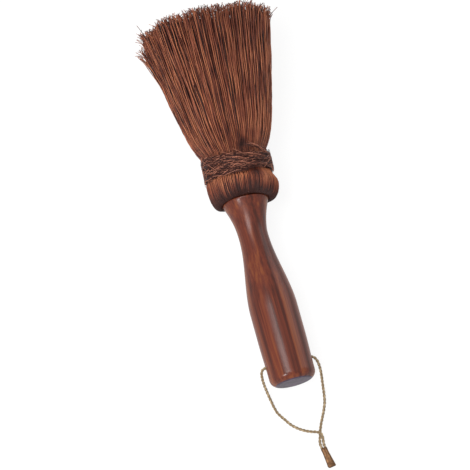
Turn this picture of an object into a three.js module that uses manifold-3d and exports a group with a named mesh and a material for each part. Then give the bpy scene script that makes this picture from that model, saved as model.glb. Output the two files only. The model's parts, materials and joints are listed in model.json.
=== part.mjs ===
// A hand brush of palm fibre on a turned hardwood handle, lying on a table.
// Two hanks of fibre are tied to the handle's spigot by their roots, folded back over the ties and
// bound with twine, and the loose ends are trimmed as bristles. A cord loop with a brass clamp runs
// through the handle's butt. Millimetres, +Z up, origin on the table under the middle of the brush.
import * as THREE from "three";
import { mergeVertices } from "three/addons/utils/BufferGeometryUtils.js";
import Module from "manifold-3d";

// Distances along the brush are from the butt face, along the handle's axis.
const CLEARANCE = 0.3;

// Handle outside
const GRIP_RADIUS = 16.4;
const GRIP_FULLEST_AT = 32;
const GRIP_LENGTH = 52;
const BUTT_NARROWING = 0.5;
const BUTT_EDGE_WIDTH = 5.4;
const BUTT_EDGE_DEPTH = 5.6;
const TAPER_LENGTH = 53;
const NECK_RADIUS = 10.1;
const FLARE_LENGTH = 26;
const FLARE_POWER = 1.9;
const COLLAR_RADIUS = 16.2;
const HOLE_AT = 14.4;

// The wood is a little bent above the neck, so the head leans to the right of the handle.
const BEND_ABOVE_NECK = 3;
const HEAD_LEAN = THREE.MathUtils.degToRad(2.6);

// Spigot inside the head: a wide seat, a narrow seat and an end knob
const INNER_SEAT_RADIUS = 9;
const INNER_SEAT_SPARE = 2.5;
const OUTER_SEAT_STEP = 3.5;
const OUTER_SEAT_SPARE = 2;
const KNOB_LIP = 1.3;
const KNOB_LENGTH = 4.5;

// Folded fibre
const ROOT_THICKNESS = 1.3;
const FOLD_ROUNDING = 1.6;
const ROLL_LIP_WIDTH = 2.4;
const ROLL_ABOVE_COLLAR = 11.5;
const ROLL_PROUD = 2.8;
const SHOULDER_LENGTH = 6.5;
const BOUND_WALL = 5.6;

// Wire ties and twine binding
const TIE_WIRE = 1.2;
const TIE_GAP = 0.5;
const INNER_TIE_TURNS = 3;
const OUTER_TIE_TURNS = 3;
const TWINE = 1.6;
const TWINE_GAP = 0.43;
const TWINE_TURNS = 6;
const TWINE_EDGE = 0.4;

// Bristles
const INNER_STRANDS = 120;
const OUTER_STRANDS = 180;
const STRAND_SIDES = 3;
const STRAND_ROOT_RADIUS = 0.55;
const STRAND_TIP_RADIUS = 1.1;
const STRAND_MARGIN = 0.4;
const STRAND_SUNK = 0.4;
const BRISTLE_LENGTH = 98.4;
const BRISTLE_LENGTH_SPREAD = 4;
const TIP_RADIUS = 45;
const OUTER_TIP_WIDTH = 10;
const TIP_LAYER_GAP = 3;
const KNEE_ABOVE_BINDING = 14;
const KNEE_SPREAD = 0.31;
const TIPS_PRESSED = 2.5;
const TIPS_FLATTENED = 0.5;

// Hang loop
const CORD = 1.8;
const CORD_HOLE_CLEARANCE = 0.35;
const CLAMP_LENGTH = 14.2;
const CLAMP_MOUTH = { width: 4.4, height: 2.9 };
const CLAMP_WAIST = { width: 4.2, height: 2.7 };
const CLAMP_WAIST_AT = 3;
const CLAMP_END = { width: 5.7, height: 2.3 };
const CLAMP_EDGE = 0.35;
const CLAMP_ROUNDNESS = 0.6;
const CLAMP_TURN = THREE.MathUtils.degToRad(8.6);

// Facets round a piece, and rings or steps along it
const HANDLE_SEGMENTS = 32;
const ROLL_SEGMENTS = 26;
const HIDDEN_SEGMENTS = 18;
const HOLE_SEGMENTS = 16;
const CLAMP_SIDES = 16;
const CORD_SIDES = 8;
const CORD_STEPS = 72;
const HANDLE_RINGS = { edge: 5, grip: 4, taper: 8, flare: 6 };
const ROLL_RINGS = { outside: 6, shoulder: 3 };
const TIE_FACETS = { steps: 16, sides: 4 };
const TWINE_FACETS = { steps: 24, sides: 5 };
const WELD = 1e-4;

const GOLDEN_ANGLE = Math.PI * (3 - Math.sqrt(5));

const LACQUERED_WOOD = { color: 0x6b3526, roughness: 0.25 };
const TIE_STEEL = { color: 0x77706a, roughness: 0.5, metalness: 1 };
const INNER_FIBRE = { color: 0x6a3a2a, roughness: 0.8 };
const OUTER_FIBRE = { color: 0x7a4633, roughness: 0.8 };
const FIBRE_TWINE = { color: 0x80503a, roughness: 0.75 };
const LOOP_CORD = { color: 0x7a6848, roughness: 0.85 };
const CLAMP_BRASS = { color: 0xa07a42, roughness: 0.4, metalness: 1 };

// Heights and radii that follow from the sizes above
const buttRadius = GRIP_RADIUS - BUTT_NARROWING;
const buttFaceRadius = buttRadius - BUTT_EDGE_WIDTH;
const neckAt = GRIP_LENGTH + TAPER_LENGTH;
const bendAt = neckAt + BEND_ABOVE_NECK;
const collarAt = neckAt + FLARE_LENGTH;
const outerFoldAt = collarAt + CLEARANCE;
const outerPocketAt = outerFoldAt + ROOT_THICKNESS;
const outerShoulderAt = outerPocketAt + tieRoom(OUTER_TIE_TURNS) + OUTER_SEAT_SPARE;
const innerFoldAt = outerShoulderAt + CLEARANCE;
const innerPocketAt = innerFoldAt + ROOT_THICKNESS;
const knobAt = innerPocketAt + tieRoom(INNER_TIE_TURNS) + INNER_SEAT_SPARE;
const spigotEnd = knobAt + KNOB_LENGTH;
const innerRoot = rootRadii(INNER_SEAT_RADIUS);
const outerSeatRadius = INNER_SEAT_RADIUS + OUTER_SEAT_STEP;
const outerRoot = rootRadii(outerSeatRadius);
const boundRadius = outerRoot.wallIn + BOUND_WALL;
const lipRadius = COLLAR_RADIUS + ROLL_LIP_WIDTH;
const rollRadius = boundRadius + ROLL_PROUD;
const rollAt = collarAt + ROLL_ABOVE_COLLAR;
const boundFrom = rollAt + SHOULDER_LENGTH;
const boundEnd = boundFrom + windingHeight(TWINE, TWINE_GAP, TWINE_TURNS) + 2 * TWINE_EDGE;
const tipsAt = boundEnd + BRISTLE_LENGTH;
const restDrop = TIP_RADIUS - TIPS_PRESSED - TIPS_FLATTENED;
const tableSlope = (restDrop - buttRadius) / (tipsAt - BUTT_EDGE_DEPTH);
const strandInset = STRAND_ROOT_RADIUS + STRAND_MARGIN;
const cordHoleRadius = CORD / 2 + CORD_HOLE_CLEARANCE;

const wasm = await Module();
wasm.setup();

function windingHeight(thickness, gap, turns) {
  return thickness + turns * (thickness + gap);
}

function tieRoom(turns) {
  return windingHeight(TIE_WIRE, TIE_GAP, turns) + CLEARANCE;
}

// A hank's root leg lies on its seat, its wire on the leg, and the folded wall starts outside the wire.
function rootRadii(seatRadius) {
  const legIn = seatRadius + CLEARANCE;
  const legOut = legIn + ROOT_THICKNESS;
  const wire = legOut + CLEARANCE + TIE_WIRE / 2;
  const wallIn = wire + TIE_WIRE / 2 + CLEARANCE;
  return { legIn, legOut, wire, wallIn };
}

function ease(from, to, share) {
  return from + (to - from) * THREE.MathUtils.smoothstep(share, 0, 1);
}

// Radius of a turned piece at the middle of its flats
function flatRadius(radius, segments) {
  return radius * Math.cos(Math.PI / segments);
}

// A mesh of positions and triangles, with every triangle that has shrunk to a line left out
function meshGeometry(positions, triangles) {
  const geometry = new THREE.BufferGeometry();
  geometry.setAttribute("position", new THREE.Float32BufferAttribute(positions, 3));
  const merged = mergeVertices(geometry.setIndex(triangles), WELD);
  const index = merged.index.array;
  const kept = [];
  for (let i = 0; i < index.length; i += 3) {
    const [a, b, c] = index.slice(i, i + 3);
    if (a !== b && b !== c && c !== a) kept.push(a, b, c);
  }
  merged.setIndex(kept);
  merged.computeVertexNormals();
  return merged;
}

function bare(geometry) {
  const indexed = geometry.index ? geometry : mergeVertices(geometry);
  return meshGeometry(Array.from(indexed.attributes.position.array), Array.from(indexed.index.array));
}

function toSolid(geometry) {
  const { attributes, index } = bare(geometry);
  return new wasm.Manifold(new wasm.Mesh({
    numProp: 3,
    vertProperties: Float32Array.from(attributes.position.array),
    triVerts: Uint32Array.from(index.array),
  }));
}

function fromSolid(solid) {
  const { vertProperties, triVerts } = solid.getMesh();
  return meshGeometry(Array.from(vertProperties), Array.from(triVerts));
}

// Rings of equal count joined in order, with the first and last ring closed by a flat fan
function loft(rings) {
  const sides = rings[0].length;
  const positions = rings.flat().flatMap((point) => point.toArray());
  const triangles = [];
  for (let ring = 0; ring < rings.length - 1; ring++) {
    for (let side = 0; side < sides; side++) {
      const next = (side + 1) % sides;
      const a = ring * sides + side;
      const b = ring * sides + next;
      triangles.push(a, b, b + sides, a, b + sides, a + sides);
    }
  }
  const last = (rings.length - 1) * sides;
  for (let side = 1; side < sides - 1; side++) {
    triangles.push(0, side + 1, side);
    triangles.push(last, last + side, last + side + 1);
  }
  return { positions, triangles };
}

function turned(outline, segments) {
  const profile = outline.map(([radius, height]) => new THREE.Vector2(radius, height));
  return bare(new THREE.LatheGeometry(profile, segments));
}

// Handle

function handleRadius(at) {
  if (at < GRIP_LENGTH) {
    return ease(buttRadius, GRIP_RADIUS, (at - BUTT_EDGE_DEPTH) / (GRIP_FULLEST_AT - BUTT_EDGE_DEPTH));
  }
  if (at < neckAt) return ease(GRIP_RADIUS, NECK_RADIUS, (at - GRIP_LENGTH) / TAPER_LENGTH);
  return NECK_RADIUS + (COLLAR_RADIUS - NECK_RADIUS) * ((at - neckAt) / FLARE_LENGTH) ** FLARE_POWER;
}

function stretch(from, to, steps) {
  return Array.from({ length: steps }, (_, step) => from + ((to - from) * (step + 1)) / steps);
}

function buttEdge() {
  return stretch(0, Math.PI / 2, HANDLE_RINGS.edge).map((angle) => [
    buttFaceRadius + BUTT_EDGE_WIDTH * Math.sin(angle),
    BUTT_EDGE_DEPTH * (1 - Math.cos(angle)),
  ]);
}

function bendNeck(geometry) {
  const position = geometry.attributes.position;
  const point = new THREE.Vector3();
  const pivot = new THREE.Vector3(0, bendAt, 0);
  const axis = new THREE.Vector3(0, 0, 1);
  for (let i = 0; i < position.count; i++) {
    point.fromBufferAttribute(position, i);
    if (point.y <= bendAt) continue;
    point.sub(pivot).applyAxisAngle(axis, -HEAD_LEAN).add(pivot);
    position.setXYZ(i, point.x, point.y, point.z);
  }
  return geometry;
}

function handleGeometry() {
  const outside = [
    ...stretch(BUTT_EDGE_DEPTH, GRIP_LENGTH, HANDLE_RINGS.grip),
    ...stretch(GRIP_LENGTH, neckAt, HANDLE_RINGS.taper),
    ...stretch(neckAt, collarAt, HANDLE_RINGS.flare),
  ];
  const blank = turned([
    [0, 0],
    [buttFaceRadius, 0],
    ...buttEdge(),
    ...outside.map((at) => [handleRadius(at), at]),
    [outerSeatRadius, collarAt],
    [outerSeatRadius, outerShoulderAt],
    [INNER_SEAT_RADIUS, outerShoulderAt],
    [INNER_SEAT_RADIUS, knobAt],
    [INNER_SEAT_RADIUS + KNOB_LIP, knobAt],
    [INNER_SEAT_RADIUS + KNOB_LIP, spigotEnd],
    [0, spigotEnd],
  ], HANDLE_SEGMENTS);
  const drillLength = 4 * GRIP_RADIUS;
  const drill = new THREE.CylinderGeometry(cordHoleRadius, cordHoleRadius, drillLength, HOLE_SEGMENTS);
  drill.rotateZ(Math.PI / 2).translate(0, HOLE_AT, 0);
  return fromSolid(toSolid(bendNeck(blank)).subtract(toSolid(drill)));
}

// Bristles: strands spread over the end of a bound hank as seeds are in a sunflower

function strandRings(number, { count, root, tip, knees }) {
  const share = (number + 0.5) / count;
  const rootRadius = Math.sqrt(root.from ** 2 + (root.to ** 2 - root.from ** 2) * share);
  const outward = (rootRadius - root.from) / (root.to - root.from);
  const tipRadius = tip.from + (tip.to - tip.from) * outward;
  const angle = number * GOLDEN_ANGLE;
  const shortBy = (BRISTLE_LENGTH_SPREAD * (1 + Math.sin(angle * number))) / 2;
  const ring = (at, spread) => {
    const radius = rootRadius + (tipRadius - rootRadius) * spread;
    return strandRing(angle, radius, at, spread);
  };
  return [
    ring(boundEnd - STRAND_SUNK, 0),
    ...knees.map(({ above, spread }) => ring(boundEnd + above, spread)),
    ring(tipsAt - shortBy, 1),
  ];
}

// The table squeezes the lower half of the brush towards its tips and cuts the lowest strands flat.
function strandRing(angle, radius, at, spread) {
  const width = STRAND_ROOT_RADIUS + (STRAND_TIP_RADIUS - STRAND_ROOT_RADIUS) * spread;
  const x = radius * Math.sin(angle);
  const up = radius * Math.cos(angle);
  const z = up < 0 ? up * (1 - (spread * TIPS_PRESSED) / TIP_RADIUS) : up;
  return Array.from({ length: STRAND_SIDES }, (_, side) => {
    const turn = angle + (2 * Math.PI * side) / STRAND_SIDES;
    const cornerZ = Math.max(z + width * Math.cos(turn), -tableBelow(at));
    return new THREE.Vector3(x + width * Math.sin(turn), at, cornerZ);
  });
}

function strands(bunch) {
  const positions = [];
  const triangles = [];
  for (let number = 0; number < bunch.count; number++) {
    const strand = loft(strandRings(number, bunch));
    const first = positions.length / 3;
    positions.push(...strand.positions);
    triangles.push(...strand.triangles.map((vertex) => vertex + first));
  }
  return meshGeometry(positions, triangles);
}

// How far the table lies below the handle's axis: it touches the butt's edge and the pressed tips.
function tableBelow(at) {
  return buttRadius + tableSlope * (at - BUTT_EDGE_DEPTH);
}

// Folded hanks

function innerFibreGeometry() {
  const wallOut = outerRoot.wallIn - CLEARANCE;
  const hank = turned([
    [0, spigotEnd + CLEARANCE],
    [innerRoot.wallIn, spigotEnd + CLEARANCE],
    [innerRoot.wallIn, innerPocketAt],
    [innerRoot.legOut, innerPocketAt],
    [innerRoot.legOut, knobAt - CLEARANCE],
    [innerRoot.legIn, knobAt - CLEARANCE],
    [innerRoot.legIn, innerFoldAt],
    [wallOut - FOLD_ROUNDING, innerFoldAt],
    [wallOut, innerFoldAt + FOLD_ROUNDING],
    [wallOut, boundEnd],
    [0, boundEnd],
  ], HIDDEN_SEGMENTS);
  const bristles = strands({
    count: INNER_STRANDS,
    root: { from: 0, to: flatRadius(wallOut, HIDDEN_SEGMENTS) - strandInset },
    tip: { from: 0, to: TIP_RADIUS - STRAND_TIP_RADIUS - OUTER_TIP_WIDTH - TIP_LAYER_GAP },
    knees: [],
  });
  return fromSolid(toSolid(hank).add(toSolid(bristles)));
}

// The roll's flat underside reaches past the handle's collar to a lip, and its outside is a quarter of
// an ellipse from the lip up to the fullest line.
function rollOutline() {
  const outside = stretch(0, Math.PI / 2, ROLL_RINGS.outside).map((angle) => [
    lipRadius + (rollRadius - lipRadius) * Math.sin(angle),
    outerFoldAt + (rollAt - outerFoldAt) * (1 - Math.cos(angle)),
  ]);
  const shoulder = stretch(rollAt, boundFrom, ROLL_RINGS.shoulder).map((at) => [
    ease(rollRadius, boundRadius, (at - rollAt) / SHOULDER_LENGTH),
    at,
  ]);
  return [[lipRadius, outerFoldAt], ...outside, ...shoulder];
}

function outerFibreGeometry() {
  const start = [outerRoot.wallIn, boundEnd];
  const hank = turned([
    start,
    [outerRoot.wallIn, outerPocketAt],
    [outerRoot.legOut, outerPocketAt],
    [outerRoot.legOut, outerShoulderAt],
    [outerRoot.legIn, outerShoulderAt],
    [outerRoot.legIn, outerFoldAt],
    ...rollOutline(),
    [boundRadius, boundEnd],
    start,
  ], ROLL_SEGMENTS);
  const bristles = strands({
    count: OUTER_STRANDS,
    root: {
      from: outerRoot.wallIn + strandInset,
      to: flatRadius(boundRadius, ROLL_SEGMENTS) - strandInset,
    },
    tip: { from: TIP_RADIUS - STRAND_TIP_RADIUS - OUTER_TIP_WIDTH, to: TIP_RADIUS - STRAND_TIP_RADIUS },
    knees: [{ above: KNEE_ABOVE_BINDING, spread: KNEE_SPREAD }],
  });
  return fromSolid(toSolid(hank).add(toSolid(bristles)));
}

// Windings: one tube each, a steady helix whose two ends run straight for a tube diameter

function windingGeometry(name, { radius, thickness, gap, turns, from, steps, sides }) {
  const pitch = thickness + gap;
  const middles = [];
  const rings = [];
  const total = turns * steps;
  for (let step = -1; step <= total + 1; step++) {
    const wound = THREE.MathUtils.clamp(step, 0, total);
    const angle = (2 * Math.PI * wound) / steps;
    const beyond = (step - wound) * thickness;
    const outward = new THREE.Vector3(Math.sin(angle), 0, Math.cos(angle));
    const along = new THREE.Vector3(Math.cos(angle), 0, -Math.sin(angle));
    const middle = outward.clone().multiplyScalar(radius).addScaledVector(along, beyond);
    middle.y = from + thickness / 2 + (pitch * wound) / steps;
    middles.push(middle);
    rings.push(Array.from({ length: sides }, (_, side) => {
      const turn = (2 * Math.PI * side) / sides;
      const point = middle.clone().addScaledVector(outward, (Math.sin(turn) * thickness) / 2);
      point.y += (Math.cos(turn) * thickness) / 2;
      return point;
    }));
  }
  console.log(`${name}: least gap to itself ${leastGap(middles, thickness, steps).toFixed(2)} mm`);
  const { positions, triangles } = loft(rings);
  return meshGeometry(positions, triangles);
}

// Least distance between points at least half a turn apart, less the tube's thickness
function leastGap(middles, thickness, steps) {
  let least = Infinity;
  for (let i = 0; i < middles.length; i++) {
    for (let j = i + Math.ceil(steps / 2); j < middles.length; j++) {
      least = Math.min(least, middles[i].distanceTo(middles[j]));
    }
  }
  return least - thickness;
}

function tieGeometry(name, root, pocketAt, turns) {
  return windingGeometry(name, {
    radius: root.wire,
    thickness: TIE_WIRE,
    gap: TIE_GAP,
    turns,
    from: pocketAt + CLEARANCE,
    ...TIE_FACETS,
  });
}

function bindingGeometry() {
  return windingGeometry("neck_binding", {
    radius: boundRadius + CLEARANCE + TWINE / 2,
    thickness: TWINE,
    gap: TWINE_GAP,
    turns: TWINE_TURNS,
    from: boundFrom + TWINE_EDGE,
    ...TWINE_FACETS,
  });
}

// Hang loop, measured from the middle of the cord's hole: x to the right, y towards the head, z up.
// One cord end leaves the clamp, runs up the right side, through the hole, down the left side,
// over the first strand and back to the clamp.

const CORD_ROUTE = [
  [7.05, -59.8, -15.2],
  [6.75, -57.8, -15.4],
  [6.85, -55.2, -15.7],
  [8, -51.5, -15.7],
  [9.3, -47.3, -15.7],
  [11.4, -42.2, -15.7],
  [13.9, -37.2, -15.7],
  [16.2, -32.2, -15.7],
  [17.7, -28.1, -15.5],
  [18.4, -24.6, -15],
  [18.8, -21.6, -13.9],
  [19.2, -17.4, -11.3],
  [19.6, -13.2, -8],
  [19.8, -9.8, -5],
  [19.6, -6.4, -2.4],
  [18.8, -3, -0.8],
  [16.8, -0.4, 0],
  [8, 0, 0],
  [0, 0, 0],
  [-8, 0, 0],
  [-16.4, 0, 0],
  [-18.3, -0.5, -0.6],
  [-19.5, -2.3, -2.2],
  [-19.7, -5, -4.8],
  [-19.4, -8.2, -8],
  [-18.7, -11.5, -11.1],
  [-17.9, -15.4, -13.5],
  [-17.1, -19.5, -15],
  [-16.3, -23.7, -15.5],
  [-15.1, -27.8, -15.7],
  [-11.9, -33.1, -15.7],
  [-8.1, -38.7, -15.7],
  [-2.9, -43.3, -15.4],
  [2.6, -46.6, -14.3],
  [6.6, -48.2, -13.6],
  [9, -50, -13.5],
  [9.5, -52.4, -14.2],
  [9.3, -55, -15.2],
  [9.1, -57.4, -15.4],
  [9.35, -59.45, -15.2],
];

function cordGeometry() {
  const route = new THREE.CatmullRomCurve3(CORD_ROUTE.map((point) => new THREE.Vector3(...point)));
  const section = new THREE.Shape(Array.from({ length: CORD_SIDES }, (_, side) => {
    const turn = (2 * Math.PI * (side + 0.5)) / CORD_SIDES;
    return new THREE.Vector2((Math.cos(turn) * CORD) / 2, (Math.sin(turn) * CORD) / 2);
  }));
  console.log(`hang_cord: ${route.getLength().toFixed(0)} mm long`);
  return bare(new THREE.ExtrudeGeometry(section, {
    steps: CORD_STEPS,
    bevelEnabled: false,
    extrudePath: route,
  }));
}

// The clamp lies flat on the table: round at the mouth, pressed flat and wider at its end.
function clampGeometry() {
  const { positions, triangles } = loft([
    clampRing(CLAMP_MOUTH, 0, CLAMP_EDGE),
    clampRing(CLAMP_MOUTH, CLAMP_EDGE, 0),
    clampRing(CLAMP_WAIST, CLAMP_WAIST_AT, 0),
    clampRing(CLAMP_END, CLAMP_LENGTH - CLAMP_EDGE, 0),
    clampRing(CLAMP_END, CLAMP_LENGTH, CLAMP_EDGE),
  ]);
  return meshGeometry(positions, triangles);
}

// A rounded oblong with its lowest line on the table, drawn in all round by the rounding of an end
function clampRing({ width, height }, at, drawnIn) {
  return Array.from({ length: CLAMP_SIDES }, (_, corner) => {
    const turn = (2 * Math.PI * corner) / CLAMP_SIDES;
    const across = Math.sign(Math.cos(turn)) * Math.abs(Math.cos(turn)) ** CLAMP_ROUNDNESS;
    const up = Math.sign(Math.sin(turn)) * Math.abs(Math.sin(turn)) ** CLAMP_ROUNDNESS;
    return new THREE.Vector3(
      across * (width / 2 - drawnIn),
      -at,
      height / 2 + up * (height / 2 - drawnIn),
    );
  });
}

// Assembly

function piece(name, geometry, finish) {
  const mesh = new THREE.Mesh(geometry, new THREE.MeshStandardMaterial(finish));
  mesh.name = name;
  return mesh;
}

const innerTie = tieGeometry("inner_root_tie", innerRoot, innerPocketAt, INNER_TIE_TURNS);
const outerTie = tieGeometry("outer_root_tie", outerRoot, outerPocketAt, OUTER_TIE_TURNS);

const head = new THREE.Group();
head.add(
  piece("inner_root_tie", innerTie, TIE_STEEL),
  piece("outer_root_tie", outerTie, TIE_STEEL),
  piece("inner_fibre_layer", innerFibreGeometry(), INNER_FIBRE),
  piece("outer_fibre_layer", outerFibreGeometry(), OUTER_FIBRE),
  piece("neck_binding", bindingGeometry(), FIBRE_TWINE),
);
for (const mesh of head.children) mesh.position.y = -bendAt;
head.position.y = bendAt;
head.rotation.z = -HEAD_LEAN;

const lying = new THREE.Group();
lying.add(piece("handle", handleGeometry(), LACQUERED_WOOD), head);
lying.rotation.x = Math.atan(tableSlope);

const brush = new THREE.Group();
brush.add(lying);
const extent = new THREE.Box3().setFromObject(brush, true);
const middle = extent.getCenter(new THREE.Vector3());
lying.position.set(-middle.x, -middle.y, -extent.min.z);
brush.updateMatrixWorld(true);

const clamp = piece("cord_clamp", clampGeometry(), CLAMP_BRASS);
const cordEnds = [CORD_ROUTE[0], CORD_ROUTE.at(-1)].map((point) => new THREE.Vector3(...point));
clamp.position.addVectors(...cordEnds).divideScalar(cordEnds.length);
clamp.position.y -= CLEARANCE;
clamp.position.z -= CLAMP_MOUTH.height / 2;
clamp.rotation.z = CLAMP_TURN;

const hangLoop = new THREE.Group();
hangLoop.add(piece("hang_cord", cordGeometry(), LOOP_CORD), clamp);
hangLoop.position.copy(lying.localToWorld(new THREE.Vector3(0, HOLE_AT, 0)));
brush.add(hangLoop);

export default brush;
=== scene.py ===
"""A hand brush of palm fibre, bound with twine on a turned wooden handle, with a cord loop to hang it by."""

import json
import math

import bpy
import numpy as np
from mathutils import Matrix, Vector


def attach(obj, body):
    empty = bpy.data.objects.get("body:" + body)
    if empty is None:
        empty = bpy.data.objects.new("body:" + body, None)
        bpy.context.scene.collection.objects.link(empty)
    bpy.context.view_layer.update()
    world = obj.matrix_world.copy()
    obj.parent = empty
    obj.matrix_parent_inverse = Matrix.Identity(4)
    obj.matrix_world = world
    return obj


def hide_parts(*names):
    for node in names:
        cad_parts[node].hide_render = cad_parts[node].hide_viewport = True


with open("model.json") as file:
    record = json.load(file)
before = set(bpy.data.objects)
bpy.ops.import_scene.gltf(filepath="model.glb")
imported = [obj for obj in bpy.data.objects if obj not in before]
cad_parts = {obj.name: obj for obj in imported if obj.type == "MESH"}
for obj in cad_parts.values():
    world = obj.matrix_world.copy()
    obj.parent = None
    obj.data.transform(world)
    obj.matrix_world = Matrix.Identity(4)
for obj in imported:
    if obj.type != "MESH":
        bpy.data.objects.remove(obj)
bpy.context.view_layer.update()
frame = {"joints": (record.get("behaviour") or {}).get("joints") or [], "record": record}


# Camera
# The brush lies on a table and is seen from above, over its butt and a little from its left, through a long
# lens from three metres away. The camera aims at a point a little left of the handle's neck.

MM = 0.001
LENS_MM = 338
SENSOR_MM = 36
CAMERA_AZIMUTH = math.radians(-15.1)
CAMERA_ELEVATION = math.radians(69)
CAMERA_DISTANCE_MM = 3000
AIM_FROM_BUTT_MM = Vector((-11.4, 110.7, 6.3))

butt_face = next(mount for mount in frame["record"]["mounts"] if mount["name"] == "butt_face")
butt = Vector(butt_face["pos_m"])
towards_camera = Vector((
    math.sin(CAMERA_AZIMUTH) * math.cos(CAMERA_ELEVATION),
    -math.cos(CAMERA_AZIMUTH) * math.cos(CAMERA_ELEVATION),
    math.sin(CAMERA_ELEVATION),
))
camera_data = bpy.data.cameras.new("camera")
camera_data.lens = LENS_MM
camera_data.sensor_width = SENSOR_MM
camera = bpy.data.objects.new("camera", camera_data)
bpy.context.scene.collection.objects.link(camera)
camera.location = butt + AIM_FROM_BUTT_MM * MM + towards_camera * CAMERA_DISTANCE_MM * MM
camera.rotation_euler = (-towards_camera).to_track_quat("-Z", "Y").to_euler()
bpy.context.scene.camera = camera


# Hang cord
# A thin jute cord of two plies, laid up by twisting yarns one way and the plies the other. It runs from the
# brass sleeve up the right side, through the hole in the butt, down the left side and back over itself.

CORD_LAY_MM = 5
YARN_LAY_MM = 6
CORD_PLIES = 2
PLY_MM = 1.25
PLY_FROM_MIDDLE_MM = 0.42
YARNS_IN_A_PLY = 7
YARN_MM = 0.42
YARN_SIDES = 5
YARN_THICKNESS = (0.9, 1.15)
YARN_TONES = (0.15, 0.8)
CORD_STEP_MM = 0.3
STEPS_BETWEEN_KNOTS = 40
NEARLY_UPRIGHT = 0.9
IN_THE_SLEEVE_MM = 0.9
JUTE_FLECK_MM = 0.8
JUTE_FLECK_WEIGHT = 0.5
JUTE_FUZZ_MM = 0.1
JUTE_LIGHT = "#b7a180"
JUTE_MIDDLE = "#8f7a5e"
JUTE_DARK = "#63513e"

# Millimetres from the middle of the hole: x to the right, y towards the head, z up
CORD_ROUTE_MM = [
    (7.05, -59.8, -15.2), (6.75, -57.8, -15.4), (6.85, -55.2, -15.7), (8, -51.5, -15.7),
    (9.3, -47.3, -15.7), (11.4, -42.2, -15.7), (13.9, -37.2, -15.7), (16.2, -32.2, -15.7),
    (17.7, -28.1, -15.5), (18.4, -24.6, -15), (18.8, -21.6, -13.9), (19.2, -17.4, -11.3),
    (19.6, -13.2, -8), (19.8, -9.8, -5), (19.6, -6.4, -2.4), (18.8, -3, -0.8),
    (16.8, -0.4, 0), (8, 0, 0), (0, 0, 0), (-8, 0, 0),
    (-16.4, 0, 0), (-18.3, -0.5, -0.6), (-19.5, -2.3, -2.2), (-19.7, -5, -4.8),
    (-19.4, -8.2, -8), (-18.7, -11.5, -11.1), (-17.9, -15.4, -13.5), (-17.1, -19.5, -15),
    (-16.3, -23.7, -15.5), (-15.1, -27.8, -15.7), (-11.9, -33.1, -15.7), (-8.1, -38.7, -15.7),
    (-2.9, -43.3, -15.4), (2.6, -46.6, -14.3), (6.6, -48.2, -13.6), (9, -50, -13.5),
    (9.5, -52.4, -14.2), (9.3, -55, -15.2), (9.1, -57.4, -15.4), (9.35, -59.45, -15.2),
]


def linear(hex_colour):
    """An sRGB hex colour as linear red, green, blue and alpha."""
    shares = [int(hex_colour[i:i + 2], 16) / 255 for i in (1, 3, 5)]
    return [s / 12.92 if s <= 0.04045 else ((s + 0.055) / 1.055) ** 2.4 for s in shares] + [1]


def add_node(tree, kind, inputs=None, stops=(), out=0, **settings):
    """An output of a new node with its settings. An input is a plain value, or another node's output."""
    made = tree.nodes.new("ShaderNode" + kind)
    for name, value in settings.items():
        setattr(made, name, value)
    for name, value in (inputs or {}).items():
        if isinstance(value, bpy.types.NodeSocket):
            tree.links.new(value, made.inputs[name])
        else:
            made.inputs[name].default_value = value
    for number, (place, hex_colour) in enumerate(stops):
        ramp = made.color_ramp.elements
        stop = ramp[number] if number < len(ramp) else ramp.new(place)
        stop.position = place
        stop.color = linear(hex_colour)
    return made.outputs[out]


def new_material(name):
    """A bare material, its node tree and the place in it that a surface shader goes to."""
    material = bpy.data.materials.new(name)
    material.use_nodes = True
    material.node_tree.nodes.clear()
    output = material.node_tree.nodes.new("ShaderNodeOutputMaterial")
    return material, material.node_tree, output.inputs["Surface"]


def distances(path):
    """How far each point of a path lies from its start, along the path."""
    return np.concatenate([[0], np.cumsum(np.linalg.norm(np.diff(path, axis=0), axis=1))])


def even_curve(route, step):
    """Points a step apart on the centripetal Catmull-Rom curve through a route."""
    route = np.array(route, float)
    ends = 2 * route[:1] - route[1:2], 2 * route[-1:] - route[-2:-1]
    knots = np.concatenate([ends[0], route, ends[1]])
    share = np.linspace(0, 1, STEPS_BETWEEN_KNOTS, endpoint=False)[:, None]
    fine = []
    for a, b, c, d in zip(knots, knots[1:], knots[2:], knots[3:]):
        before, here, after = (np.linalg.norm(q - p) ** 0.5 for p, q in ((a, b), (b, c), (c, d)))
        leaving = here * ((b - a) / before - (c - a) / (before + here)) + (c - b)
        arriving = here * ((d - c) / after - (d - b) / (here + after)) + (c - b)
        cubic = 2 * b - 2 * c + leaving + arriving
        square = -3 * b + 3 * c - 2 * leaving - arriving
        fine.append(cubic * share**3 + square * share**2 + leaving * share + b)
    fine = np.concatenate(fine + [route[-1:]])
    reach = distances(fine)
    even = np.linspace(0, reach[-1], round(reach[-1] / step) + 1)
    return np.stack([np.interp(even, reach, fine[:, axis]) for axis in range(3)], axis=1)


def cross_axes(paths):
    """Two unit directions across each point of paths (paths, steps, 3), carried along without twist."""
    along = np.gradient(paths, axis=1)
    along /= np.linalg.norm(along, axis=2, keepdims=True)
    across = np.empty_like(paths)
    level = np.abs(along[:, 0, 2:]) < NEARLY_UPRIGHT
    side = np.where(level, [[0.0, 0.0, 1.0]], [[1.0, 0.0, 0.0]])
    for step in range(paths.shape[1]):
        here = along[:, step]
        side = side - (side * here).sum(1, keepdims=True) * here
        side = side / np.linalg.norm(side, axis=1, keepdims=True)
        across[:, step] = side
    return across, np.cross(along, across)


def quads(here, ahead):
    """Faces between rings of point numbers and the rings ahead of them."""
    corners = [here, np.roll(here, -1, -1), np.roll(ahead, -1, -1), ahead]
    return np.stack(corners, -1).reshape(-1, 4).tolist()


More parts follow.
